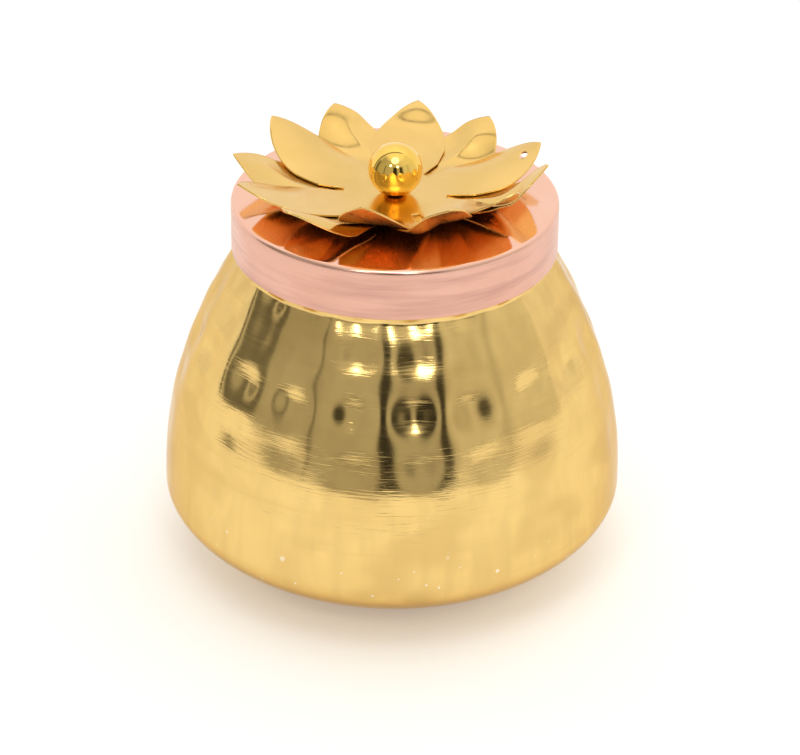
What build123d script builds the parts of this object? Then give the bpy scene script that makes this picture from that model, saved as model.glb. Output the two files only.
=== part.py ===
from build123d import *
import math
import os

# A small kalash pot: a hammered brass pot with a push-on copper lid. The lid carries two
# stamped petal sheets and a ball, held by one screw from inside the lid.
# Sizes are in millimetres. +Z is up, and the origin is the centre of the pot's base.

# Pot
BELLY_RADIUS = 55.0
BELLY_HEIGHT = 20.0
BASE_RADIUS = 24.2
BASE_CURVE = 6.6        # how far the base turns into the lower belly
BELLY_DROP = 9.7        # length of the belly's curve below its widest ring
BELLY_RISE = 33.8       # length of the belly's curve above its widest ring
NECK_RADIUS = 37.1
NECK_ROOT = 81.3        # where the shoulder meets the upright neck
SHOULDER_LEAN = 23.0    # degrees from upright, at the neck
SHOULDER_CURVE = 9.4
POT_WALL = 1.0
LIP_ROUND = 0.3
NECK_ROUND = 1.5

# Lid
LID_RADIUS = 38.3
LID_WALL = 0.8
LID_TOP = 93.45
LID_SKIRT = 12.3
LID_CORNER = 1.1
LID_INNER_CORNER = 0.35

# Petal sheets
PETALS = 6
SHEET = 0.4
PETAL_HALF_WIDTH = 8.7
PETAL_ROOT_HALF_WIDTH = 6.0
PETAL_WIDEST = 23.0     # distance from the centre to a petal's widest place
PETAL_SHOULDER = (33.3, 4.9)
UPPER_REACH = 36.8
LOWER_REACH = 37.6
UPPER_TURN = 23.0       # degrees from the row's +X axis to an upper petal
UPPER_SLOPE = 24.0      # degrees that the petals rise
LOWER_SLOPE = 21.0
UPPER_BEND = 10.5       # radius where the flat middle ends
LOWER_BEND = 12.0
BEND_RADIUS = 12.0
HUB_RADIUS = 15.5       # the middle, where the petals are one sheet
SLOT_START = 12.1
SLOT_END = 20.0
SLOT_WIDTH = 2.0
HANGING_HOLE_RADIUS = 1.1
HANGING_HOLE_REACH = 33.0

# Ball, screw and washer
BALL_RADIUS = 6.35
BALL_FLAT_RADIUS = 2.0
SCREW_RADIUS = 1.5
SCREW_LENGTH = 10.0
THREAD_CLEARANCE = 0.05
CLEARANCE_HOLE_RADIUS = 1.7
BALL_HOLE_DEPTH = 8.6
HEAD_RADIUS = 2.8
HEAD_HEIGHT = 2.0
HEAD_ROUND = 0.9
RECESS_LENGTH = 3.2
RECESS_WIDTH = 0.8
RECESS_DEPTH = 1.2
WASHER_RADIUS = 3.5
WASHER_HOLE_RADIUS = 1.6
WASHER_THICKNESS = 0.5

# Heights that follow from the sizes above
LID_UNDERSIDE = LID_TOP - LID_WALL
LOWER_SHEET_TOP = LID_TOP + SHEET
UPPER_SHEET_TOP = LOWER_SHEET_TOP + SHEET
BALL_CENTRE = UPPER_SHEET_TOP + math.sqrt(BALL_RADIUS**2 - BALL_FLAT_RADIUS**2)
WASHER_BOTTOM = LID_UNDERSIDE - WASHER_THICKNESS

TOLERANCE = 0.01
ABOVE = 5.0             # how far a cutting shape runs past what it cuts
FROM_BELOW = (Align.CENTER, Align.CENTER, Align.MIN)
FROM_ABOVE = (Align.CENTER, Align.CENTER, Align.MAX)


def rings(solid, radius, height):
    """The circular edges of a turned solid that have this radius and height."""
    circles = solid.edges().filter_by(GeomType.CIRCLE)
    return [
        edge for edge in circles
        if abs(edge.radius - radius) < TOLERANCE and abs(edge.arc_center.Z - height) < TOLERANCE
    ]


def turned(outline):
    """The solid that a closed outline in the XZ plane makes about the Z axis."""
    return revolve(make_face(outline), Axis.Z, 360)


def pot_shape(inset, top):
    """The pot's solid form, drawn in by the inset, with its neck running up to a height."""
    base = inset
    lean = math.radians(SHOULDER_LEAN)
    neck = NECK_RADIUS - inset
    belly = BELLY_RADIUS - inset
    base_edge = (BASE_RADIUS, 0, base)
    widest = (belly, 0, BELLY_HEIGHT)
    neck_root = (neck, 0, NECK_ROOT)
    lower_belly = Bezier(
        base_edge,
        (BASE_RADIUS + BASE_CURVE, 0, base),
        (belly, 0, BELLY_HEIGHT - BELLY_DROP),
        widest,
    )
    shoulder = Bezier(
        widest,
        (belly, 0, BELLY_HEIGHT + BELLY_RISE),
        (neck + SHOULDER_CURVE * math.sin(lean), 0, NECK_ROOT - SHOULDER_CURVE * math.cos(lean)),
        neck_root,
    )
    rest = Polyline(neck_root, (neck, 0, top), (0, 0, top), (0, 0, base), base_edge)
    form = turned(lower_belly + shoulder + rest)
    return fillet(rings(form, neck, NECK_ROOT), NECK_ROUND)


def pot_body():
    """The spun pot, open at its neck."""
    pot = pot_shape(0, LID_UNDERSIDE) - pot_shape(POT_WALL, LID_UNDERSIDE + ABOVE)
    lip = rings(pot, NECK_RADIUS, LID_UNDERSIDE) + rings(pot, NECK_RADIUS - POT_WALL, LID_UNDERSIDE)
    return fillet(lip, LIP_ROUND)


def lid_cap():
    """The lid: a flat top with a rounded edge, and a skirt round the neck."""
    inner = LID_RADIUS - LID_WALL
    skirt = Pos(0, 0, LID_TOP - LID_SKIRT) * Cylinder(LID_RADIUS, LID_SKIRT, align=FROM_BELOW)
    skirt = fillet(rings(skirt, LID_RADIUS, LID_TOP), LID_CORNER)
    inside = Pos(0, 0, LID_UNDERSIDE) * Cylinder(inner, LID_SKIRT, align=FROM_ABOVE)
    inside = fillet(rings(inside, inner, LID_UNDERSIDE), LID_INNER_CORNER)
    hole = Pos(0, 0, LID_TOP) * Cylinder(CLEARANCE_HOLE_RADIUS, 2 * ABOVE)
    return skirt - inside - hole


def petal_plan(reach):
    """One petal seen from above, pointing along +X from the centre: straight sides, pointed end."""
    tip = (reach, 0)
    left = (PETAL_WIDEST, PETAL_HALF_WIDTH)
    right = (PETAL_WIDEST, -PETAL_HALF_WIDTH)
    stretch = reach - UPPER_REACH
    shoulder_x = PETAL_SHOULDER[0] + stretch
    shoulder_y = PETAL_SHOULDER[1]
    outline = ThreePointArc(left, (shoulder_x, shoulder_y), tip)
    outline += ThreePointArc(tip, (shoulder_x, -shoulder_y), right)
    outline += Polyline(right, (0, -PETAL_ROOT_HALF_WIDTH), (0, PETAL_ROOT_HALF_WIDTH), left)
    return make_face(outline)


def petal_turns():
    """Where the petals point, in degrees from the first one."""
    return [360 / PETALS * number for number in range(PETALS)]


def flower_plan(reach):
    """The whole sheet seen from above: petals joined by a hub, with a slot between neighbours."""
    plan = Circle(HUB_RADIUS) + [
        Rot(0, 0, turn) * petal_plan(reach) for turn in petal_turns()
    ]
    length = SLOT_END - SLOT_START
    slot = Pos(SLOT_START + length / 2, 0) * Rectangle(length, SLOT_WIDTH)
    half_turn = 180 / PETALS
    plan -= [Rot(0, 0, turn + half_turn) * slot for turn in petal_turns()]
    return plan - Circle(CLEARANCE_HOLE_RADIUS)


def sheet_shell(top, bend_start, slope, reach):
    """A sheet that is flat in the middle, bends up, and then rises as a shallow cone."""
    angle = math.radians(slope)
    outer = reach + ABOVE

    def surface(radius, height):
        """The line of one face: flat, a bend of this radius, and straight."""
        bend_end = bend_start + radius * math.sin(angle)
        bend_top = height + radius * (1 - math.cos(angle))
        middle_turn = angle / 2
        middle = (
            bend_start + radius * math.sin(middle_turn),
            0,
            height + radius * (1 - math.cos(middle_turn)),
        )
        outer_top = bend_top + (outer - bend_end) * math.tan(angle)
        flat = Line((0, 0, height), (bend_start, 0, height))
        bend = ThreePointArc((bend_start, 0, height), middle, (bend_end, 0, bend_top))
        rise = Line((bend_end, 0, bend_top), (outer, 0, outer_top))
        return flat + bend + rise

    upper_face = surface(BEND_RADIUS, top)
    lower_face = surface(BEND_RADIUS + SHEET, top - SHEET)
    rim_low = lower_face.vertices().sort_by(Axis.X)[-1]
    rim_high = upper_face.vertices().sort_by(Axis.X)[-1]
    edge = Line(tuple(rim_low), tuple(rim_high))
    middle_line = Line((0, 0, top - SHEET), (0, 0, top))
    return turned(upper_face + lower_face + edge + middle_line)


def petal_sheet(top, bend_start, slope, reach):
    """A stamped sheet of petals, bent up round its flat middle."""
    blank = extrude(Pos(0, 0, top - ABOVE) * flower_plan(reach), 6 * ABOVE)
    return sheet_shell(top, bend_start, slope, reach) & blank


def lower_petals():
    """The sheet that lies on the lid, turned so that its petals show between the upper ones."""
    sheet = petal_sheet(LOWER_SHEET_TOP, LOWER_BEND, LOWER_SLOPE, LOWER_REACH)
    return Rot(0, 0, UPPER_TURN + 180 / PETALS) * sheet


def upper_petals():
    """The sheet under the ball, with a small hanging hole near the end of its first petal."""
    sheet = petal_sheet(UPPER_SHEET_TOP, UPPER_BEND, UPPER_SLOPE, UPPER_REACH)
    hole = Pos(HANGING_HOLE_REACH, 0, UPPER_SHEET_TOP) * Cylinder(HANGING_HOLE_RADIUS, 6 * ABOVE)
    return Rot(0, 0, UPPER_TURN) * (sheet - hole)


def ball_knob():
    """The ball, with a small flat where it sits and a blind hole for the screw."""
    ball = Pos(0, 0, BALL_CENTRE) * Sphere(BALL_RADIUS)
    below = Pos(0, 0, UPPER_SHEET_TOP) * Cylinder(BALL_RADIUS, BALL_RADIUS, align=FROM_ABOVE)
    hole_radius = SCREW_RADIUS + THREAD_CLEARANCE
    hole = Pos(0, 0, UPPER_SHEET_TOP) * Cylinder(hole_radius, BALL_HOLE_DEPTH, align=FROM_BELOW)
    return ball - below - hole


def knob_screw():
    """The pan-head screw that goes up through the lid and the sheets into the ball."""
    shank = Pos(0, 0, WASHER_BOTTOM) * Cylinder(SCREW_RADIUS, SCREW_LENGTH, align=FROM_BELOW)
    head = Pos(0, 0, WASHER_BOTTOM) * Cylinder(HEAD_RADIUS, HEAD_HEIGHT, align=FROM_ABOVE)
    head_bottom = WASHER_BOTTOM - HEAD_HEIGHT
    head = fillet(rings(head, HEAD_RADIUS, head_bottom), HEAD_ROUND)
    recess = Box(RECESS_LENGTH, RECESS_WIDTH, RECESS_DEPTH, align=FROM_BELOW)
    recess += Box(RECESS_WIDTH, RECESS_LENGTH, RECESS_DEPTH, align=FROM_BELOW)
    return shank + head - Pos(0, 0, head_bottom) * recess


def lid_washer():
    """The flat washer between the screw's head and the lid."""
    place = Pos(0, 0, WASHER_BOTTOM)
    washer = place * Cylinder(WASHER_RADIUS, WASHER_THICKNESS, align=FROM_BELOW)
    return washer - place * Cylinder(WASHER_HOLE_RADIUS, WASHER_THICKNESS, align=FROM_BELOW)


SUB_PARTS = [pot_body, lid_cap, lower_petals, upper_petals, ball_knob, knob_screw, lid_washer]

os.makedirs("parts", exist_ok=True)
for make in SUB_PARTS:
    export_step(make(), os.path.join("parts", make.__name__ + ".step"))
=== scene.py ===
import math
import random

import bpy
import numpy as np
from mathutils import Matrix, Vector


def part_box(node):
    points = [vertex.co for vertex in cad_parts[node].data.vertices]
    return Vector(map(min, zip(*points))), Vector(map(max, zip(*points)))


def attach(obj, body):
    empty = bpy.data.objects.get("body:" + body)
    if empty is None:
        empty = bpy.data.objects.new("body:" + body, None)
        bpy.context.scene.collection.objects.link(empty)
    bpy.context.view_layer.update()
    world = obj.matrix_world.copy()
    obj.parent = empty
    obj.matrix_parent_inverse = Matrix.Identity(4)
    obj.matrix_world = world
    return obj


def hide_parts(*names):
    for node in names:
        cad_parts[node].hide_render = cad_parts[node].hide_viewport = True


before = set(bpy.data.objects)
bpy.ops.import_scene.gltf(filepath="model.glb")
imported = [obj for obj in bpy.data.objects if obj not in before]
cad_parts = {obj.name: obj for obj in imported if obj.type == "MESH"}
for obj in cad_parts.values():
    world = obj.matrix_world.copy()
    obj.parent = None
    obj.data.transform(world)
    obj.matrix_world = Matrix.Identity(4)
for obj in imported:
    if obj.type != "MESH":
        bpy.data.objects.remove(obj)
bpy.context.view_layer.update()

MM = 0.001


# ---------------------------------------------------------------- mesh helpers

ON_AXIS = 1e-7        # a smaller radius than this is a pole


def mesh_piece(name, vertices, faces, material, body, node):
    """A smooth mesh made from lists, riding on a body in place of a CAD node."""
    mesh = bpy.data.meshes.new(name)
    mesh.from_pydata([tuple(v) for v in vertices], [], faces)
    mesh.validate()
    mesh.polygons.foreach_set("use_smooth", [True] * len(mesh.polygons))
    mesh.update()
    piece = bpy.data.objects.new(name, mesh)
    bpy.context.scene.collection.objects.link(piece)
    mesh.materials.append(material)
    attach(piece, body)
    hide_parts(node)
    return piece


def turned_grid(outline, segments, shift=None):
    """Vertices and faces of a turned shape. outline is (radius, height) points; a zero radius is a pole.
    shift, if given, is an array of (rows, segments, 3) moves."""
    turn = np.arange(segments) * 2 * math.pi / segments
    outline = np.asarray(outline, float)
    grid = np.zeros((len(outline), segments, 3))
    grid[:, :, 0] = outline[:, :1] * np.cos(turn)
    grid[:, :, 1] = outline[:, :1] * np.sin(turn)
    grid[:, :, 2] = outline[:, 1:2]
    if shift is not None:
        grid += shift
    vertices = []
    rows = []
    for index, (radius, height) in enumerate(outline):
        start = len(vertices)
        if radius < ON_AXIS:
            vertices.append((0, 0, height))
            rows.append([start] * segments)
        else:
            vertices.extend(grid[index])
            rows.append(list(range(start, start + segments)))
    return vertices, rows


def grid_faces(rows, closed):
    """Quads between neighbouring rows, or triangles at a pole. closed joins the last row to the first."""
    faces = []
    pairs = list(zip(rows, rows[1:]))
    if closed:
        pairs.append((rows[-1], rows[0]))
    for low, high in pairs:
        count = len(low)
        for i in range(count):
            j = (i + 1) % count
            corners = [low[i], low[j], high[j], high[i]]
            face = list(dict.fromkeys(corners))
            if len(face) > 2:
                faces.append(face)
    return faces


def bezier(points, count):
    """Points along a cubic Bezier curve, its last point left out."""
    t = np.linspace(0, 1, count, endpoint=False)[:, None]
    p = np.asarray(points, float)
    return (1 - t) ** 3 * p[0] + 3 * (1 - t) ** 2 * t * p[1] + 3 * (1 - t) * t * t * p[2] + t ** 3 * p[3]


def arc(centre, radius, start, end, count):
    """Points along an arc in the radius-height plane, angles in degrees, both ends included."""
    angles = np.radians(np.linspace(start, end, count))
    return np.stack([centre[0] + radius * np.cos(angles), centre[1] + radius * np.sin(angles)], 1)


def normals_2d(line):
    """Unit normals to the right of a polyline's direction."""
    along = np.gradient(line, axis=0)
    along /= np.linalg.norm(along, axis=1)[:, None]
    return np.stack([along[:, 1], -along[:, 0]], 1)


def smooth_step(low, high, value):
    """0 below low, 1 above high, and a smooth rise between."""
    t = np.clip((value - low) / (high - low), 0, 1)
    return t * t * (3 - 2 * t)


# ---------------------------------------------------------------- node helpers

class Nodes:
    """Short calls for building a material's or the world's node tree."""

    def __init__(self, tree):
        self.tree = tree
        self.tree.nodes.clear()

    def add(self, kind, **settings):
        node = self.tree.nodes.new(kind)
        for key, value in settings.items():
            setattr(node, key, value)
        return node

    def link(self, source, target):
        self.tree.links.new(source, target)

    def feed(self, socket, value):
        """Links a socket, or sets it to a number or colour."""
        if isinstance(value, bpy.types.NodeSocket):
            self.link(value, socket)
        else:
            socket.default_value = value

    def math(self, operation, a, b=0.0):
        node = self.add("ShaderNodeMath", operation=operation)
        self.feed(node.inputs[0], a)
        self.feed(node.inputs[1], b)
        return node.outputs[0]

    def ramp(self, value, stops):
        """A colour or brightness that follows value along (place, colour) stops."""
        node = self.add("ShaderNodeValToRGB")
        ramp = node.color_ramp
        while len(ramp.elements) < len(stops):
            ramp.elements.new(0.5)
        for element, (place, colour) in zip(ramp.elements, stops):
            element.position = place
            element.color = (*colour, 1) if isinstance(colour, tuple) else (colour, colour, colour, 1)
        self.link(value, node.inputs["Fac"])
        return node.outputs["Color"]

    def mix(self, factor, a, b, blend="MIX"):
        node = self.add("ShaderNodeMix", data_type="RGBA", blend_type=blend)
        self.feed(node.inputs[0], factor)
        self.feed(node.inputs[6], (*a, 1) if isinstance(a, tuple) else a)
        self.feed(node.inputs[7], (*b, 1) if isinstance(b, tuple) else b)
        return node.outputs[2]

    def noise(self, vector, scale, detail=2.0, roughness=0.5):
        node = self.add("ShaderNodeTexNoise")
        self.link(vector, node.inputs["Vector"])
        node.inputs["Scale"].default_value = scale
        node.inputs["Detail"].default_value = detail
        node.inputs["Roughness"].default_value = roughness
        return node.outputs["Fac"]

    def range(self, value, low, high, new_low, new_high):
        node = self.add("ShaderNodeMapRange", clamp=True)
        self.link(value, node.inputs["Value"])
        limits = {"From Min": low, "From Max": high, "To Min": new_low, "To Max": new_high}
        for name, number in limits.items():
            node.inputs[name].default_value = number
        return node.outputs[0]

    def stretched(self, vector, x, y, z):
        node = self.add("ShaderNodeMapping")
        self.link(vector, node.inputs["Vector"])
        node.inputs["Scale"].default_value = (x, y, z)
        return node.outputs[0]

    def bump(self, height, distance, normal=None):
        """A normal from a height pattern, distance metres deep, on top of another normal if given."""
        node = self.add("ShaderNodeBump")
        node.inputs["Distance"].default_value = distance
        self.link(height, node.inputs["Height"])
        if normal is not None:
            self.link(normal, node.inputs["Normal"])
        return node.outputs["Normal"]


def metal(name):
    """A new material with a metallic Principled shader: (material, nodes, shader, object coordinates)."""
    material = bpy.data.materials.new(name)
    material.use_nodes = True
    nodes = Nodes(material.node_tree)
    shader = nodes.add("ShaderNodeBsdfPrincipled")
    output = nodes.add("ShaderNodeOutputMaterial")
    nodes.link(shader.outputs[0], output.inputs["Surface"])
    shader.inputs["Metallic"].default_value = 1.0
    place = nodes.add("ShaderNodeTexCoord").outputs["Object"]
    return material, nodes, shader, place


# ---------------------------------------------------------------- materials

def pot_gold():
    """Gold-lacquered metal with fine spinning lines round it, faint cloudiness, a few chips low down, and
    painted shade: a darker band at the foot that stands in for the reflected shadow under the pot.
    """
    material, nodes, shader, place = metal("gold_lacquer")
    lines = nodes.noise(nodes.stretched(place, 70, 70, 1700), 1.0, 3.0, 0.65)
    broad_lines = nodes.noise(nodes.stretched(place, 9, 9, 420), 1.0, 2.0, 0.5)
    strokes = nodes.noise(nodes.stretched(place, 210, 210, 40), 1.0, 2.0, 0.5)
    cloud = nodes.noise(place, 55, 3.0)
    grain = nodes.noise(place, 2600, 1.0)
    tint = nodes.mix(nodes.range(cloud, 0.35, 0.65, 0, 1), (0.80, 0.555, 0.197), (0.85, 0.60, 0.222))
    tint = nodes.mix(nodes.range(broad_lines, 0.55, 0.8, 0, 0.5), tint, (0.72, 0.48, 0.155))
    tint = nodes.mix(nodes.range(strokes, 0.42, 0.68, 0, 0.75), tint, (0.73, 0.50, 0.18))
    height = nodes.add("ShaderNodeSeparateXYZ")
    nodes.link(place, height.inputs[0])
    low = nodes.range(height.outputs["Z"], 0.016, 0.030, 1, 0)
    blotches = nodes.range(nodes.noise(nodes.stretched(place, 60, 60, 95), 1.0, 1.0), 0.5, 0.66, 0, 0.8)
    tint = nodes.mix(blotches, tint, (0.69, 0.465, 0.165))
    # Painted shade: the lowest few mm are tinted dark brown, a painted reflection of the contact shadow
    # under the pot.
    foot_painted_shade = nodes.range(height.outputs["Z"], 0.0015, 0.0055, 0.75, 0)
    tint = nodes.mix(foot_painted_shade, tint, (0.50, 0.31, 0.13))
    chips = nodes.range(nodes.noise(place, 420, 1.0), 0.735, 0.75, 0, 1)
    chips = nodes.math("MULTIPLY", chips, low)
    tint = nodes.mix(chips, tint, (0.95, 0.92, 0.86))
    nodes.link(tint, shader.inputs["Base Color"])
    rough = nodes.range(lines, 0.3, 0.7, 0.07, 0.15)
    rough = nodes.math("ADD", rough, nodes.range(cloud, 0.3, 0.7, 0.0, 0.04))
    nodes.link(rough, shader.inputs["Roughness"])
    normal = nodes.bump(lines, 0.000026)
    normal = nodes.bump(broad_lines, 0.00004, normal)
    scratches = nodes.range(nodes.noise(nodes.stretched(place, 120, 120, 2600), 1.0, 1.0), 0.60, 0.74, 0, 1)
    normal = nodes.bump(scratches, 0.000009, normal)
    normal = nodes.bump(grain, 0.000003, normal)
    nodes.link(normal, shader.inputs["Normal"])
    shader.inputs["Specular Tint"].default_value = (0.80, 0.69, 0.54, 1)
    shader.inputs["Coat Weight"].default_value = 0.1
    shader.inputs["Coat Roughness"].default_value = 0.05
    return material


def lid_copper():
    """Copper plate: a bright flat top, and a satin skirt with faint lines, specks and light scratches."""
    material, nodes, shader, place = metal("copper_plate")
    split = nodes.add("ShaderNodeSeparateXYZ")
    nodes.link(place, split.inputs[0])
    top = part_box("lid_cap")[1].z
    on_top = nodes.range(split.outputs["Z"], top - 1.0 * MM, top - 0.1 * MM, 0, 1)
    lines = nodes.noise(nodes.stretched(place, 14, 14, 2200), 1.0, 3.0, 0.6)
    cloud = nodes.noise(place, 70, 3.0)
    specks = nodes.range(nodes.noise(place, 1500, 2.0, 0.7), 0.68, 0.76, 0, 1)
    patches = nodes.range(nodes.noise(place, 110, 2.0), 0.5, 0.7, 0, 1)
    specks = nodes.math("MULTIPLY", specks, patches)
    bands = nodes.noise(nodes.stretched(place, 26, 26, 330), 1.0, 3.0, 0.6)
    skirt_tint = nodes.mix(nodes.range(cloud, 0.3, 0.7, 0, 1), (0.72, 0.405, 0.31), (0.80, 0.475, 0.38))
    skirt_tint = nodes.mix(nodes.range(bands, 0.42, 0.64, 0, 0.8), skirt_tint, (0.58, 0.32, 0.26))
    top_tint = nodes.mix(nodes.range(cloud, 0.3, 0.7, 0, 1), (0.95, 0.55, 0.40), (0.97, 0.59, 0.44))
    tint = nodes.mix(on_top, skirt_tint, top_tint)
    tint = nodes.mix(nodes.math("MULTIPLY", specks, 0.6), tint, (0.42, 0.26, 0.24))
    nodes.link(tint, shader.inputs["Base Color"])
    satin = nodes.range(lines, 0.3, 0.7, 0.27, 0.38)
    bright = nodes.range(cloud, 0.3, 0.7, 0.07, 0.13)
    rough = nodes.add("ShaderNodeMix", data_type="FLOAT")
    nodes.link(on_top, rough.inputs[0])
    nodes.link(satin, rough.inputs[2])
    nodes.link(bright, rough.inputs[3])
    nodes.link(rough.outputs[0], shader.inputs["Roughness"])
    normal = nodes.bump(lines, 0.000006)
    normal = nodes.bump(bands, 0.00002, normal)
    nodes.link(normal, shader.inputs["Normal"])
    return material


def petal_gold():
    """Satin gold sheet, duller underneath, with rolling grain, faint clouding and a few specks."""
    material, nodes, shader, place = metal("satin_gold_sheet")
    grain = nodes.noise(nodes.stretched(place, 900, 160, 900), 1.0, 3.0, 0.6)
    cloud = nodes.noise(place, 90, 3.0)
    specks = nodes.range(nodes.noise(place, 1100, 2.0, 0.7), 0.74, 0.80, 0, 1)
    tint = nodes.mix(nodes.range(cloud, 0.3, 0.7, 0, 1), (0.82, 0.535, 0.165), (0.87, 0.585, 0.20))
    tint = nodes.mix(nodes.math("MULTIPLY", specks, 0.25), tint, (0.45, 0.28, 0.10))
    nodes.link(tint, shader.inputs["Base Color"])
    facing = nodes.add("ShaderNodeSeparateXYZ")
    nodes.link(nodes.add("ShaderNodeNewGeometry").outputs["Normal"], facing.inputs[0])
    underside = nodes.range(facing.outputs["Z"], -0.15, 0.15, 0.09, 0.0)
    rough = nodes.math("ADD", nodes.range(grain, 0.3, 0.7, 0.16, 0.24), underside)
    nodes.link(rough, shader.inputs["Roughness"])
    nodes.link(nodes.bump(grain, 0.000003), shader.inputs["Normal"])
    return material


def ball_gold():
    """Polished deep gold with a few fine scratches."""
    material, nodes, shader, place = metal("polished_gold")
    scratches = nodes.noise(nodes.stretched(place, 300, 2400, 900), 1.0, 2.0, 0.6)
    cloud = nodes.noise(place, 260, 2.0)
    tint = nodes.mix(nodes.range(cloud, 0.3, 0.7, 0, 1), (0.96, 0.62, 0.12), (0.99, 0.68, 0.17))
    nodes.link(tint, shader.inputs["Base Color"])
    nodes.link(nodes.range(scratches, 0.5, 0.8, 0.035, 0.10), shader.inputs["Roughness"])
    nodes.link(nodes.bump(scratches, 0.0000015), shader.inputs["Normal"])
    return material


def zinc_steel():
    """Zinc-plated steel for the screw and the washer."""
    material, nodes, shader, place = metal("zinc_steel")
    cloud = nodes.noise(place, 700, 3.0)
    rings = nodes.noise(nodes.stretched(place, 60, 60, 3000), 1.0, 2.0)
    tint = nodes.mix(nodes.range(cloud, 0.3, 0.7, 0, 1), (0.56, 0.57, 0.60), (0.70, 0.70, 0.69))
    nodes.link(tint, shader.inputs["Base Color"])
    nodes.link(nodes.range(cloud, 0.3, 0.7, 0.22, 0.38), shader.inputs["Roughness"])
    nodes.link(nodes.bump(rings, 0.000006), shader.inputs["Normal"])
    return material


def floor_white():
    """Matt white table with very faint mottling, and painted light: a faint even glow that brightens it and
    lightens the shadows on it.
    """
    material, nodes, shader, place = metal("white_table")
    shader.inputs["Metallic"].default_value = 0.0
    mottle = nodes.noise(place, 12, 2.0)
    nodes.link(nodes.mix(mottle, (0.93, 0.925, 0.915), (0.95, 0.947, 0.94)), shader.inputs["Base Color"])
    shader.inputs["Roughness"].default_value = 0.9
    # Painted light: the table glows, though it is no lamp, to brighten it and lighten the shadows on it.
    shader.inputs["Emission Color"].default_value = (1.0, 0.975, 0.94, 1)
    shader.inputs["Emission Strength"].default_value = 0.24
    return material


# ---------------------------------------------------------------- the pot

BASE_RADIUS = 24.2 * MM
BASE_CURVE = 6.6 * MM
BELLY_HEIGHT = 20.0 * MM
BELLY_DROP = 9.7 * MM
BELLY_RISE = 33.8 * MM
NECK_RADIUS = 37.1 * MM
NECK_ROOT = 81.3 * MM
NECK_ROUND = 1.5 * MM
SHOULDER_LEAN = math.radians(23)
SHOULDER_CURVE = 9.4 * MM
POT_WALL = 1.0 * MM
POT_SEGMENTS = 560
BASE_RINGS = 10
LOW_RINGS = 40           # the first rings, at the bottom, where no row of dimples is
LIP_ROUND = 0.35 * MM

DIMPLE_COLUMNS = 20
DIMPLE_TURN = math.radians(-90 + 6.3)
DIMPLE_ROWS = [          # height, radius, depth
    (81.5 * MM, 6.6 * MM, 1.35 * MM),
    (72.0 * MM, 6.8 * MM, 0.80 * MM),
    (61.0 * MM, 6.8 * MM, 1.22 * MM),
    (49.8 * MM, 6.8 * MM, 0.68 * MM),
    (37.5 * MM, 6.6 * MM, 0.36 * MM),
]
DIMPLE_FADE = 1.7        # how fast a dimple gets shallower away from its middle
DIMPLE_STRAY = 0.7 * MM  # how far a dimple may be above or below its row
DIMPLE_SWAY = 0.025      # how far it may be off its column, in radians

WAVES = 14
WAVE_HEIGHT = 0.012 * MM

HAMMER_START = (14 * MM, 30 * MM)      # heights between which the hammering comes in
HAMMER_END = (79.5 * MM, 81.2 * MM)    # and goes out


def pot_outline():
    """The outer line of the pot from the base's centre to the lip."""
    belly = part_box("pot_body")[1].x
    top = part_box("pot_body")[1].z
    base = np.stack([np.linspace(0, BASE_RADIUS, BASE_RINGS, endpoint=False), np.zeros(BASE_RINGS)], 1)
    lower = bezier([(BASE_RADIUS, 0), (BASE_RADIUS + BASE_CURVE, 0),
                    (belly, BELLY_HEIGHT - BELLY_DROP), (belly, BELLY_HEIGHT)], 60)
    handle = (NECK_RADIUS + SHOULDER_CURVE * math.sin(SHOULDER_LEAN),
              NECK_ROOT - SHOULDER_CURVE * math.cos(SHOULDER_LEAN))
    upper = bezier([(belly, BELLY_HEIGHT), (belly, BELLY_HEIGHT + BELLY_RISE),
                    handle, (NECK_RADIUS, NECK_ROOT)], 150)
    trim = NECK_ROUND * math.tan(SHOULDER_LEAN / 2)
    upper = upper[upper[:, 1] < NECK_ROOT - trim]
    centre = (NECK_RADIUS + NECK_ROUND, NECK_ROOT + trim)
    root = arc(centre, NECK_ROUND, 180 + math.degrees(SHOULDER_LEAN), 180, 7)
    heights = np.linspace(NECK_ROOT + trim, top - LIP_ROUND, 12)[1:]
    neck = np.stack([np.full(len(heights), NECK_RADIUS), heights], 1)
    return np.concatenate([base, lower, upper, root, neck]), top


def dimple_depth(line):
    """How deep the hammering is at each ring and each segment of the pot."""
    random_marks = random.Random(11)
    steps = np.linalg.norm(np.diff(line, axis=0), axis=1)
    run = np.concatenate([[0], np.cumsum(steps)])
    turn = np.arange(POT_SEGMENTS) * 2 * math.pi / POT_SEGMENTS
    total = np.zeros((len(line), POT_SEGMENTS))
    for height, radius, depth in DIMPLE_ROWS:
        row = int(np.argmin(np.abs(line[LOW_RINGS:, 1] - height))) + LOW_RINGS
        for column in range(DIMPLE_COLUMNS):
            angle = DIMPLE_TURN + column * 2 * math.pi / DIMPLE_COLUMNS
            angle += random_marks.uniform(-DIMPLE_SWAY, DIMPLE_SWAY)
            place = run[row] + random_marks.uniform(-DIMPLE_STRAY, DIMPLE_STRAY)
            size = radius * random_marks.uniform(0.93, 1.06)
            deep = depth * random_marks.uniform(0.88, 1.14)
            across = (turn - angle + math.pi) % (2 * math.pi) - math.pi
            u = line[:, :1] * across[None, :] / size
            v = (run[:, None] - place) / size
            total += deep * np.exp(-DIMPLE_FADE * (u * u + v * v))
    return total


def unevenness(line):
    """A slight waviness left by the hammer all over the belly."""
    turn = np.arange(POT_SEGMENTS) * 2 * math.pi / POT_SEGMENTS
    waves = np.zeros((len(line), POT_SEGMENTS))
    source = random.Random(23)
    for _ in range(WAVES):
        around = source.randint(3, 17)
        rise = source.uniform(-180, 180)
        phase = source.uniform(0, 2 * math.pi)
        waves += np.sin(around * turn[None, :] + rise * line[:, 1:2] + phase)
    return waves * WAVE_HEIGHT


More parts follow.
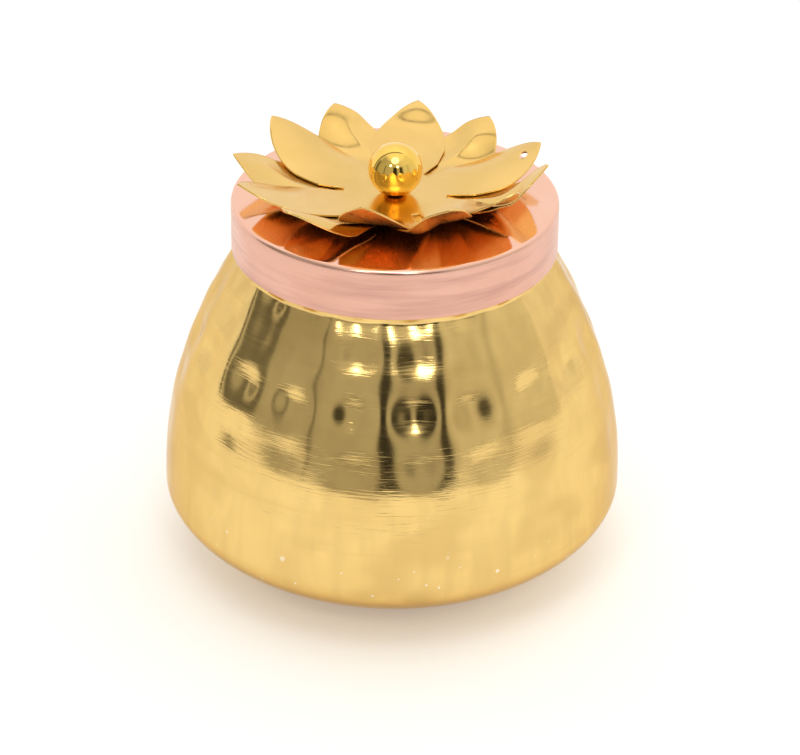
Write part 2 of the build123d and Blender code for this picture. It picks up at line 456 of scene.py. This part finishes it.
def make_pot(material):
    """The pot as one turned sheet of metal, hammered on its outside and inside alike."""
    line, top = pot_outline()
    outward = normals_2d(line)
    outward[0] = (0, -1)
    wall_end = len(line)
    above_base = smooth_step(*HAMMER_START, line[:, 1])
    below_neck = 1 - smooth_step(*HAMMER_END, line[:, 1])
    depth = (dimple_depth(line) + unevenness(line)) * (above_base * below_neck)[:, None]
    inner = line - outward * POT_WALL
    inner[:BASE_RINGS, 1] = POT_WALL
    neck_inside = NECK_RADIUS - POT_WALL
    corner, flat = (0.08 * MM, 0.12 * MM), 0.3 * MM
    lip = np.array([(NECK_RADIUS - corner[0], top - corner[1]), (NECK_RADIUS - flat, top),
                    (NECK_RADIUS - POT_WALL / 2, top), (neck_inside + flat, top),
                    (neck_inside + corner[0], top - corner[1])])
    outline = np.concatenate([line, lip, inner[::-1]])
    outline[0, 0] = 0
    outline[-1, 0] = 0
    turn = np.arange(POT_SEGMENTS) * 2 * math.pi / POT_SEGMENTS
    moves = np.zeros((len(outline), POT_SEGMENTS, 3))
    for rows, sign in ((slice(0, wall_end), 1), (slice(len(outline) - wall_end, None), -1)):
        push = depth[::sign]
        normal = outward[::sign]
        moves[rows, :, 0] = -push * normal[:, :1] * np.cos(turn)
        moves[rows, :, 1] = -push * normal[:, :1] * np.sin(turn)
        moves[rows, :, 2] = -push * normal[:, 1:2]
    vertices, rows = turned_grid(outline, POT_SEGMENTS, moves)
    faces = grid_faces(rows, False)
    return mesh_piece("hammered_pot", vertices, faces, material, "pot", "pot_body")


# ---------------------------------------------------------------- the lid

LID_WALL = 0.8 * MM
LID_CORNER = 1.1 * MM
LID_INNER_CORNER = 0.35 * MM
LID_EDGE = 0.2 * MM      # rounding of the skirt's lower edge and bevel of the screw hole
LID_SEGMENTS = 360
HOLE_RADIUS = 1.7 * MM


def make_lid(material):
    """The lid as one turned sheet with a hole in the middle."""
    low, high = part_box("lid_cap")
    radius, bottom, top = high.x, low.z, high.z
    inner = radius - LID_WALL
    under = top - LID_WALL
    edge = LID_EDGE
    corner = LID_INNER_CORNER
    panel = np.linspace(HOLE_RADIUS + edge, radius - LID_CORNER, 40, endpoint=False)
    outline = [(HOLE_RADIUS, under + edge), (HOLE_RADIUS, top - edge)]
    outline += [(r, top) for r in panel]
    outline += list(arc((radius - LID_CORNER, top - LID_CORNER), LID_CORNER, 90, 0, 14))
    outline += [(radius, z) for z in np.linspace(top - LID_CORNER, bottom + edge, 18)[1:]]
    outline += list(arc((radius - edge, bottom + edge), edge, 0, -90, 4))[1:]
    outline += list(arc((inner + edge, bottom + edge), edge, -90, -180, 4))
    outline += [(inner, z) for z in np.linspace(bottom + edge, under - corner, 14)[1:]]
    outline += list(arc((inner - corner, under - corner), corner, 0, 90, 6))[1:]
    outline += [(r, under) for r in np.linspace(inner - corner, HOLE_RADIUS + edge, 24)[1:]]
    vertices, rows = turned_grid(outline, LID_SEGMENTS)
    faces = grid_faces(rows, True)
    return mesh_piece("copper_lid", vertices, faces, material, "lid", "lid_cap")


# ---------------------------------------------------------------- the flower

SHEET = 0.4 * MM
SLOT_START = 12.1 * MM
SLOT_EDGE = math.radians(30 - 4.3)
PETAL_WIDEST = 23.0 * MM
PETAL_HALF_WIDTH = 8.7 * MM
PETAL_ROOT_HALF_WIDTH = 6.0 * MM
RADIAL_STEPS = 44
HUB_STEPS = 16
FIRST_TURN = 23.0
HALF_PITCH = 30.0
UPPER_BEND = 10.5 * MM
LOWER_BEND = 12.0 * MM
STEP_BACK = 4.6 * MM
STEP_LENGTH = 2.2 * MM
STEP_HALF_WIDTH = 6.0 * MM
PETAL_GAP = 0.08 * MM        # gap between the two sheets' petals at the hub
GAP_SLOPE = 0.02             # how much wider it gets for each length past the slots' inner ends
FREE_WIDTH = 10.0 * MM       # distance beside an upper petal at which a lower one is free of it
PRESS_START = 3.0 * MM       # length past the slots' inner ends over which the pressing comes in
PRESS_BLEND = 1.0 * MM
NEIGHBOUR = math.radians(60) # from one petal of a sheet to the next
EDGE_BEVEL = 0.06 * MM

# Height of each sheet's flat top
TOPS = {node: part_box(node)[0].z + SHEET for node in ("lower_petals", "upper_petals")}

# The petals are bent unevenly, so each has its own turn of the tip off the even spacing (degrees), reach,
# rise at its tip, curl (1 is a straight rise, more is a late one), rise of its left and right edges
# against its middle, and the step up just before its tip. Lengths are in mm. Most values are rounded results
# of a program that fitted the petals' outlines to the photograph. The steps and some curls and edges were
# set one by one.
UPPER_PETALS = [
    (-1.5, 36.6, 7.2, 1.7, -2.0, -1.0, 0.4),
    (-1.0, 37.4, 6.9, 1.4, 0.2, -1.0, 1.9),
    (-0.5, 37.3, 8.9, 1.9, -0.8, -1.3, 0.4),
    (-4.0, 38.0, 7.9, 1.5, 0.0, -1.1, 0.3),
    (-4.5, 36.3, 14.0, 1.9, -1.0, -0.2, 0.2),
    (-4.5, 36.4, 12.4, 1.8, -2.2, 1.2, 0.2),
]
LOWER_PETALS = [
    (0.0, 37.0, 6.8, 1.5, -1.6, -0.9, 0.1),
    (1.0, 36.8, 7.8, 1.4, -0.6, -0.4, 1.0),
    (1.0, 38.0, 8.1, 1.5, -2.0, 0.0, 0.3),
    (-6.0, 36.0, 8.4, 0.9, -3.6, 0.2, 0.2),
    (-2.5, 36.4, 13.2, 1.3, -0.7, -0.5, 0.2),
    (-2.5, 35.5, 11.0, 1.8, -4.0, -0.9, 0.2),
]


def petal_side(reach):
    """Angle and distance from the centre of points along one side of a petal, from its tip to its root."""
    run = reach - PETAL_WIDEST
    radius = (run * run + PETAL_HALF_WIDTH ** 2) / (2 * PETAL_HALF_WIDTH)
    turn = math.asin(run / radius)
    points = []
    for step in np.linspace(1, 0, 26):
        angle = turn * step
        points.append((PETAL_WIDEST + radius * math.sin(angle),
                       PETAL_HALF_WIDTH - radius * (1 - math.cos(angle))))
    slope = (PETAL_HALF_WIDTH - PETAL_ROOT_HALF_WIDTH) / PETAL_WIDEST
    for along in np.linspace(PETAL_WIDEST, SLOT_START, 16)[1:]:
        points.append((along, PETAL_ROOT_HALF_WIDTH + slope * along))
    points = np.array(points)
    angle = np.arctan2(points[:, 1], points[:, 0])
    distance = np.hypot(points[:, 0], points[:, 1])
    keep = angle < SLOT_EDGE
    edge_distance = np.interp(SLOT_EDGE, angle, distance)
    return np.append(angle[keep], SLOT_EDGE), np.append(distance[keep], edge_distance)


def petal_rise(along, across, bent):
    """Height of a bent petal above the flat of its sheet.
    bent is (bend start, reach, rise, curl, left, right, step)."""
    start, reach, rise, curl, left, right, step = bent
    t = np.clip((along - start) / (reach - start), 0, 1.2)
    side = across / PETAL_HALF_WIDTH
    edge = left if side > 0 else right
    tip_step = step * (np.tanh((along - reach + STEP_BACK) / STEP_LENGTH) + 1) / 2
    middle = np.exp(-(across / STEP_HALF_WIDTH) ** 2)
    return (rise - step) * t ** curl + edge * side ** 2 * smooth_step(0, 0.6, t) + tip_step * middle


def petal_plans(petals, first_turn, bend):
    """Each petal's middle angle, turn of its tip, edge angles with their distances, and bend, in metres."""
    plans = []
    for index, (shift, reach, rise, curl, left, right, step) in enumerate(petals):
        angles, distances = petal_side(reach * MM)
        bent = (bend, reach * MM, rise * MM, curl, left * MM, right * MM, step * MM)
        middle = math.radians(first_turn + 60 * index)
        plans.append((middle, math.radians(shift), angles, distances, bent))
    return plans


def way_out(distance, reach):
    """0 at the hub's edge and 1 at a petal's tip."""
    return max(0.0, (distance - SLOT_START) / (reach - SLOT_START))


def held_down(height, turn, distance, plans):
    """The height of a lower petal, pressed down where an upper petal covers it or is close beside it."""
    lowest = height
    for middle, shift, angles, distances, bent in plans:
        off = (turn - middle - shift * way_out(distance, bent[1]) + math.pi) % (2 * math.pi) - math.pi
        if abs(off) > NEIGHBOUR:
            continue
        edge = np.interp(distance, distances[::-1], angles[::-1])
        outside = max(0.0, abs(off) - edge) * distance + max(0.0, distance - distances[0])
        held = math.copysign(min(abs(off), edge), off)
        above = float(petal_rise(distance * math.cos(held), distance * math.sin(held), bent))
        room = above - PETAL_GAP - GAP_SLOPE * max(0.0, distance - SLOT_START)
        pressed = 1 - float(smooth_step(0, FREE_WIDTH, outside))
        pressed *= float(smooth_step(SLOT_START, SLOT_START + PRESS_START, distance))
        lowest = min(lowest, height + pressed * (lower_of(height, room, PRESS_BLEND) - height))
    return lowest


def lower_of(a, b, blend):
    """The smaller of two heights, rounded over a little where they meet."""
    mid = max(0.0, 1 - abs(a - b) / blend)
    return min(a, b) - mid * mid * blend / 4


def make_flower(name, material, node, petals, first_turn, bend, above=()):
    """A sheet of petals: a flat hub, and petals that are each bent on their own, under those above."""
    top = TOPS[node]
    columns = []
    for middle, shift, side_angle, side_distance, bent in petal_plans(petals, first_turn, bend):
        angles = np.concatenate([-side_angle[::-1], side_angle[1:]])
        reaches = np.concatenate([side_distance[::-1], side_distance[1:]])
        columns.append((middle, shift, angles, reaches, bent))
    top_points = []
    hub_rings = [[] for _ in range(HUB_STEPS + 1)]
    quads = []
    hub_radii = np.linspace(HOLE_RADIUS, SLOT_START, HUB_STEPS + 1)

    def place(angle, distance, column):
        """Adds a point of the sheet's top and gives its number."""
        middle, shift, _, _, bent = column
        along = distance * math.cos(angle)
        across = distance * math.sin(angle)
        height = float(petal_rise(along, across, bent))
        turn = middle + shift * way_out(distance, bent[1]) + angle
        if above and distance > SLOT_START:
            height = held_down(height, turn, distance, above)
        top_points.append((distance * math.cos(turn), distance * math.sin(turn), top + height))
        return len(top_points) - 1

    for column in columns:
        angles, reaches = column[2], column[3]
        slot_angles = np.linspace(SLOT_EDGE, NEIGHBOUR - SLOT_EDGE, 6)[1:-1]
        lines = []
        for angle in angles:
            for ring, radius in enumerate(hub_radii):
                hub_rings[ring].append(place(angle, radius, column))
        for angle in slot_angles:
            for ring, radius in enumerate(hub_radii):
                hub_rings[ring].append(place(angle, radius, column))
        start = len(hub_rings[-1]) - len(slot_angles) - len(angles)
        for offset, (angle, reach) in enumerate(zip(angles, reaches)):
            line = [hub_rings[-1][start + offset]]
            for step in np.linspace(0, 1, RADIAL_STEPS + 1)[1:]:
                line.append(place(angle, SLOT_START + (reach - SLOT_START) * step, column))
            lines.append(line)
        for left, right in zip(lines, lines[1:]):
            for step in range(RADIAL_STEPS):
                quads.append((left[step], left[step + 1], right[step + 1], right[step]))
    for ring in range(HUB_STEPS):
        inner, outer = hub_rings[ring], hub_rings[ring + 1]
        for i in range(len(inner)):
            j = (i + 1) % len(inner)
            quads.append((inner[i], outer[i], outer[j], inner[j]))
    return thicken(name, np.array(top_points), quads, material, node)


def thicken(name, points, quads, material, node):
    """Gives a sheet of quads its thickness, downwards, with its edges closed."""
    normals = np.zeros_like(points)
    for quad in quads:
        a, b, c = points[quad[0]], points[quad[1]], points[quad[3]]
        normal = np.cross(b - a, c - a)
        for corner in quad:
            normals[corner] += normal
    normals /= np.linalg.norm(normals, axis=1)[:, None]
    under = points - normals * SHEET
    count = len(points)
    faces = [tuple(quad) for quad in quads]
    faces += [tuple(corner + count for corner in reversed(quad)) for quad in quads]
    edges = {}
    for quad in quads:
        for a, b in zip(quad, quad[1:] + quad[:1]):
            edges[(a, b)] = edges.get((a, b), 0) + 1
    for a, b in edges:
        if (b, a) not in edges:
            faces.append((b, a, a + count, b + count))
    piece = mesh_piece(name, np.concatenate([points, under]), faces, material, "lid", node)
    bevel = piece.modifiers.new("edge", "BEVEL")
    bevel.width = EDGE_BEVEL
    bevel.segments = 1
    bevel.limit_method = "ANGLE"
    bevel.angle_limit = math.radians(50)
    return piece


HANGING_HOLE = (31.8 * MM, -1.0 * MM, 1.15 * MM)    # along the petal, across it, and radius


def punch_hanging_hole(sheet, plan):
    """Cuts the round hanging hole near the tip of one petal."""
    middle, shift, _, _, bent = plan
    along, across, radius = HANGING_HOLE
    distance = math.hypot(along, across)
    turn = middle + shift * way_out(distance, bent[1]) + math.atan2(across, along)
    height = TOPS["upper_petals"] + float(petal_rise(along, across, bent))
    further = TOPS["upper_petals"] + float(petal_rise(along + MM, across, bent))
    slope = math.atan2(further - height, MM)
    bpy.ops.mesh.primitive_cylinder_add(vertices=40, radius=radius, depth=6 * MM)
    punch = bpy.context.object
    punch.rotation_euler = (0, -slope, turn)
    punch.location = (distance * math.cos(turn), distance * math.sin(turn), height)
    cut = sheet.modifiers.new("hanging_hole", "BOOLEAN")
    cut.operation = "DIFFERENCE"
    cut.solver = "EXACT"
    cut.object = punch
    bpy.context.view_layer.update()
    cut_mesh = bpy.data.meshes.new_from_object(sheet.evaluated_get(bpy.context.evaluated_depsgraph_get()))
    sheet.modifiers.clear()
    sheet.data = cut_mesh
    bpy.data.objects.remove(punch)


# ---------------------------------------------------------------- the ball

BALL_HOLE_RADIUS = 1.55 * MM
BALL_HOLE_DEPTH = 8.6 * MM
BALL_HOLE_TIP = 0.6 * MM
BALL_HOLE_EDGE = (0.1 * MM, 0.2 * MM)
BALL_FLAT_EDGE = 0.02 * MM


def make_ball(material):
    """A turned ball with a small flat and a blind hole."""
    low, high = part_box("ball_knob")
    radius = (high.x - low.x) / 2
    centre = high.z - radius
    flat = math.sqrt(radius ** 2 - (centre - low.z) ** 2)
    hole, floor = BALL_HOLE_RADIUS, low.z + BALL_HOLE_DEPTH
    across, up = BALL_HOLE_EDGE
    outline = [(0, floor + BALL_HOLE_TIP), (hole, floor), (hole, low.z + up), (hole + across, low.z),
               (flat - BALL_FLAT_EDGE, low.z)]
    start = -math.degrees(math.asin((centre - low.z) / radius))
    outline += list(arc((0, centre), radius, start, 90, 96))
    outline[-1] = (0, high.z)
    vertices, rows = turned_grid(outline, 128)
    faces = grid_faces(rows, False)
    return mesh_piece("brass_ball", vertices, faces, material, "lid", "ball_knob")


# ---------------------------------------------------------------- stage, light and camera

ROOM_TINT = (1.0, 0.985, 0.93)
TENT_WHITE = (1.0, 0.98, 0.965)
TENT_TOP_WHITE = (1.18, 1.15, 1.12)
CEILING_WHITE = (1.12, 1.10, 1.06)
TABLE_WHITE = (0.92, 0.92, 0.90)         # what shows below the horizon beyond the table
SEEN_WHITE = (1.1, 1.1, 1.1)             # what the camera sees behind the table

# Brightness of the room in front of the tent by azimuth in degrees: near the horizon, and higher up.
LOW_ROOM = [
    (-110, 0.85), (-97, 0.70), (-93, 0.16), (-84, 0.20), (-79, 0.46), (-53, 0.50), (-49, 0.14), (-45, 0.46),
    (-32, 0.50), (-12, 0.52), (-8, 0.035), (5, 0.035), (9, 0.50), (17, 0.52), (21, 0.05), (30, 0.07),
    (36, 0.62), (46, 0.78), (58, 0.60), (72, 0.80), (100, 0.86),
]
HIGH_ROOM = [(-110, 0.85), (-80, 0.42), (-40, 0.50), (0, 0.60), (40, 0.82), (100, 0.90)]

# Name, azimuth, elevation, distance in metres, angular radius in degrees and brightness.
LIGHTS = [
    ("umbrella", -3, 63, 1.1, 15, 1.9),
    ("lamp_left", -25, 39, 1.0, 4.5, 7.0),
    ("lamp_right", 11, 36, 1.0, 4.5, 7.0),
]

TABLE_SIDE = 1.1
TABLE_FRONT = -0.56
TABLE_BACK = 1.6

# A program solved the camera from outline points in the photograph, at a distance that was chosen.
CAMERA_LENS = 144.15
CAMERA_PITCH = math.radians(29.42)
CAMERA_ROLL = math.radians(0.74)
CAMERA_DISTANCE = 0.770
CAMERA_TARGET = Vector((0.00168, 0, 0.0449))


def towards(azimuth, elevation):
    """Unit vector to a place in the room. Azimuth 0 is the camera's side and 90 is the right."""
    a, e = math.radians(azimuth), math.radians(elevation)
    return Vector((math.sin(a) * math.cos(e), -math.cos(a) * math.cos(e), math.sin(e)))


def half(value):
    """A sine or cosine as a place on a ramp that runs from -1 to 1."""
    return 0.5 + 0.5 * value


def raised(degrees):
    return half(math.sin(math.radians(degrees)))


def round_about(degrees):
    return 0.5 + degrees / 360


def world_light():
    """A white tent behind and at the right, open to a greyer room in front, seen mostly in reflections."""
    world = bpy.data.worlds.new("studio")
    bpy.context.scene.world = world
    world.use_nodes = True
    nodes = Nodes(world.node_tree)
    output = nodes.add("ShaderNodeOutputWorld")
    direction = nodes.add("ShaderNodeTexCoord").outputs["Generated"]
    split = nodes.add("ShaderNodeSeparateXYZ")
    nodes.link(direction, split.inputs[0])
    x, y, z = split.outputs
    turn = nodes.math("ARCTAN2", x, nodes.math("MULTIPLY", y, -1.0))
    around = nodes.math("ADD", nodes.math("DIVIDE", turn, 2 * math.pi), 0.5)
    up = nodes.math("ADD", nodes.math("MULTIPLY", z, 0.5), 0.5)
    away = nodes.math("ADD", nodes.math("MULTIPLY", y, 0.5), 0.5)
    aside = nodes.math("ADD", nodes.math("MULTIPLY", x, 0.5), 0.5)

    walls = nodes.ramp(around, [(round_about(azimuth), bright) for azimuth, bright in LOW_ROOM])
    upper = nodes.ramp(around, [(round_about(azimuth), bright) for azimuth, bright in HIGH_ROOM])
    lofty = nodes.ramp(up, [(raised(30), 0.0), (raised(37), 1.0)])
    ceiling = nodes.ramp(up, [(raised(52), 0.0), (raised(70), 1.0)])
    upper = nodes.mix(ceiling, upper, CEILING_WHITE)
    room = nodes.mix(lofty, walls, upper)
    ledge = nodes.ramp(up, [(raised(-4.5), 0.12), (raised(-3), 0.6), (raised(-1.5), 1.0)])
    room = nodes.mix(1.0, room, ledge, "MULTIPLY")
    room = nodes.mix(1.0, room, ROOM_TINT, "MULTIPLY")
    opening = nodes.ramp(away, [(half(0.17), 0.0), (half(0.20), 1.0)])
    tent_top = nodes.ramp(up, [(raised(35), 0.0), (raised(65), 1.0)])
    white = nodes.mix(tent_top, TENT_WHITE, TENT_TOP_WHITE)
    tent = nodes.mix(opening, room, white)
    seam = nodes.ramp(away, [(half(0.14), 1.0), (half(0.17), 0.12), (half(0.22), 0.12), (half(0.26), 1.0)])
    seam_place = nodes.ramp(aside, [(half(0.25), 1.0), (half(0.5), 0.0)])
    tent = nodes.mix(1.0, tent, nodes.mix(seam_place, (1.0, 1.0, 1.0), seam), "MULTIPLY")
    below = nodes.ramp(up, [(raised(-8), 1.0), (raised(-5), 0.0)])
    tent = nodes.mix(below, tent, TABLE_WHITE)
    lit = nodes.add("ShaderNodeBackground")
    nodes.link(tent, lit.inputs["Color"])
    seen = nodes.add("ShaderNodeBackground")
    seen.inputs["Color"].default_value = (*SEEN_WHITE, 1)
    path = nodes.add("ShaderNodeLightPath")
    both = nodes.add("ShaderNodeMixShader")
    nodes.link(path.outputs["Is Camera Ray"], both.inputs[0])
    nodes.link(lit.outputs[0], both.inputs[1])
    nodes.link(seen.outputs[0], both.inputs[2])
    nodes.link(both.outputs[0], output.inputs["Surface"])


def round_light(name, azimuth, elevation, distance, spread, brightness):
    """A round soft light that points at the lid. spread is its angular radius in degrees."""
    data = bpy.data.lights.new(name, "AREA")
    data.shape = "DISK"
    radius = distance * math.tan(math.radians(spread))
    data.size = 2 * radius
    data.energy = brightness * math.pi * math.pi * radius * radius
    lamp = bpy.data.objects.new(name, data)
    bpy.context.scene.collection.objects.link(lamp)
    centre = Vector((0, 0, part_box("lid_cap")[1].z))
    out = towards(azimuth, elevation)
    lamp.location = centre + out * distance
    lamp.rotation_mode = "QUATERNION"
    lamp.rotation_quaternion = out.to_track_quat("Z", "Y")
    lamp.visible_camera = False


def make_floor(material):
    """The white table, its front edge nearer than its back."""
    corners = [(-TABLE_SIDE, TABLE_FRONT, 0), (TABLE_SIDE, TABLE_FRONT, 0),
               (TABLE_SIDE, TABLE_BACK, 0), (-TABLE_SIDE, TABLE_BACK, 0)]
    mesh = bpy.data.meshes.new("table")
    mesh.from_pydata(corners, [], [(0, 1, 2, 3)])
    floor = bpy.data.objects.new("table", mesh)
    bpy.context.scene.collection.objects.link(floor)
    mesh.materials.append(material)


def make_camera():
    """A long lens that looks down on the pot from the front."""
    data = bpy.data.cameras.new("camera")
    data.lens = CAMERA_LENS
    data.sensor_width = 36.0
    data.clip_end = 20
    camera = bpy.data.objects.new("camera", data)
    bpy.context.scene.collection.objects.link(camera)
    tilt = Matrix.Rotation(math.radians(90) - CAMERA_PITCH, 4, "X")
    roll = Matrix.Rotation(CAMERA_ROLL, 4, "Z")
    back = Vector((0, -math.cos(CAMERA_PITCH), math.sin(CAMERA_PITCH)))
    camera.matrix_world = Matrix.Translation(CAMERA_TARGET + back * CAMERA_DISTANCE) @ tilt @ roll
    bpy.context.scene.camera = camera


make_camera()
world_light()
for light in LIGHTS:
    round_light(*light)
make_floor(floor_white())
make_pot(pot_gold())
make_lid(lid_copper())
petals = petal_gold()
upper_plans = petal_plans(UPPER_PETALS, FIRST_TURN, UPPER_BEND)
make_flower("lower_petal_sheet", petals, "lower_petals", LOWER_PETALS, FIRST_TURN + HALF_PITCH, LOWER_BEND,
            upper_plans)
upper_sheet = make_flower("upper_petal_sheet", petals, "upper_petals", UPPER_PETALS, FIRST_TURN, UPPER_BEND)
punch_hanging_hole(upper_sheet, upper_plans[0])
make_ball(ball_gold())
steel = zinc_steel()
for node in ("knob_screw", "lid_washer"):
    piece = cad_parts[node]
    piece.data.materials.clear()
    piece.data.materials.append(steel)

bpy.context.scene.view_settings.view_transform = "Standard"
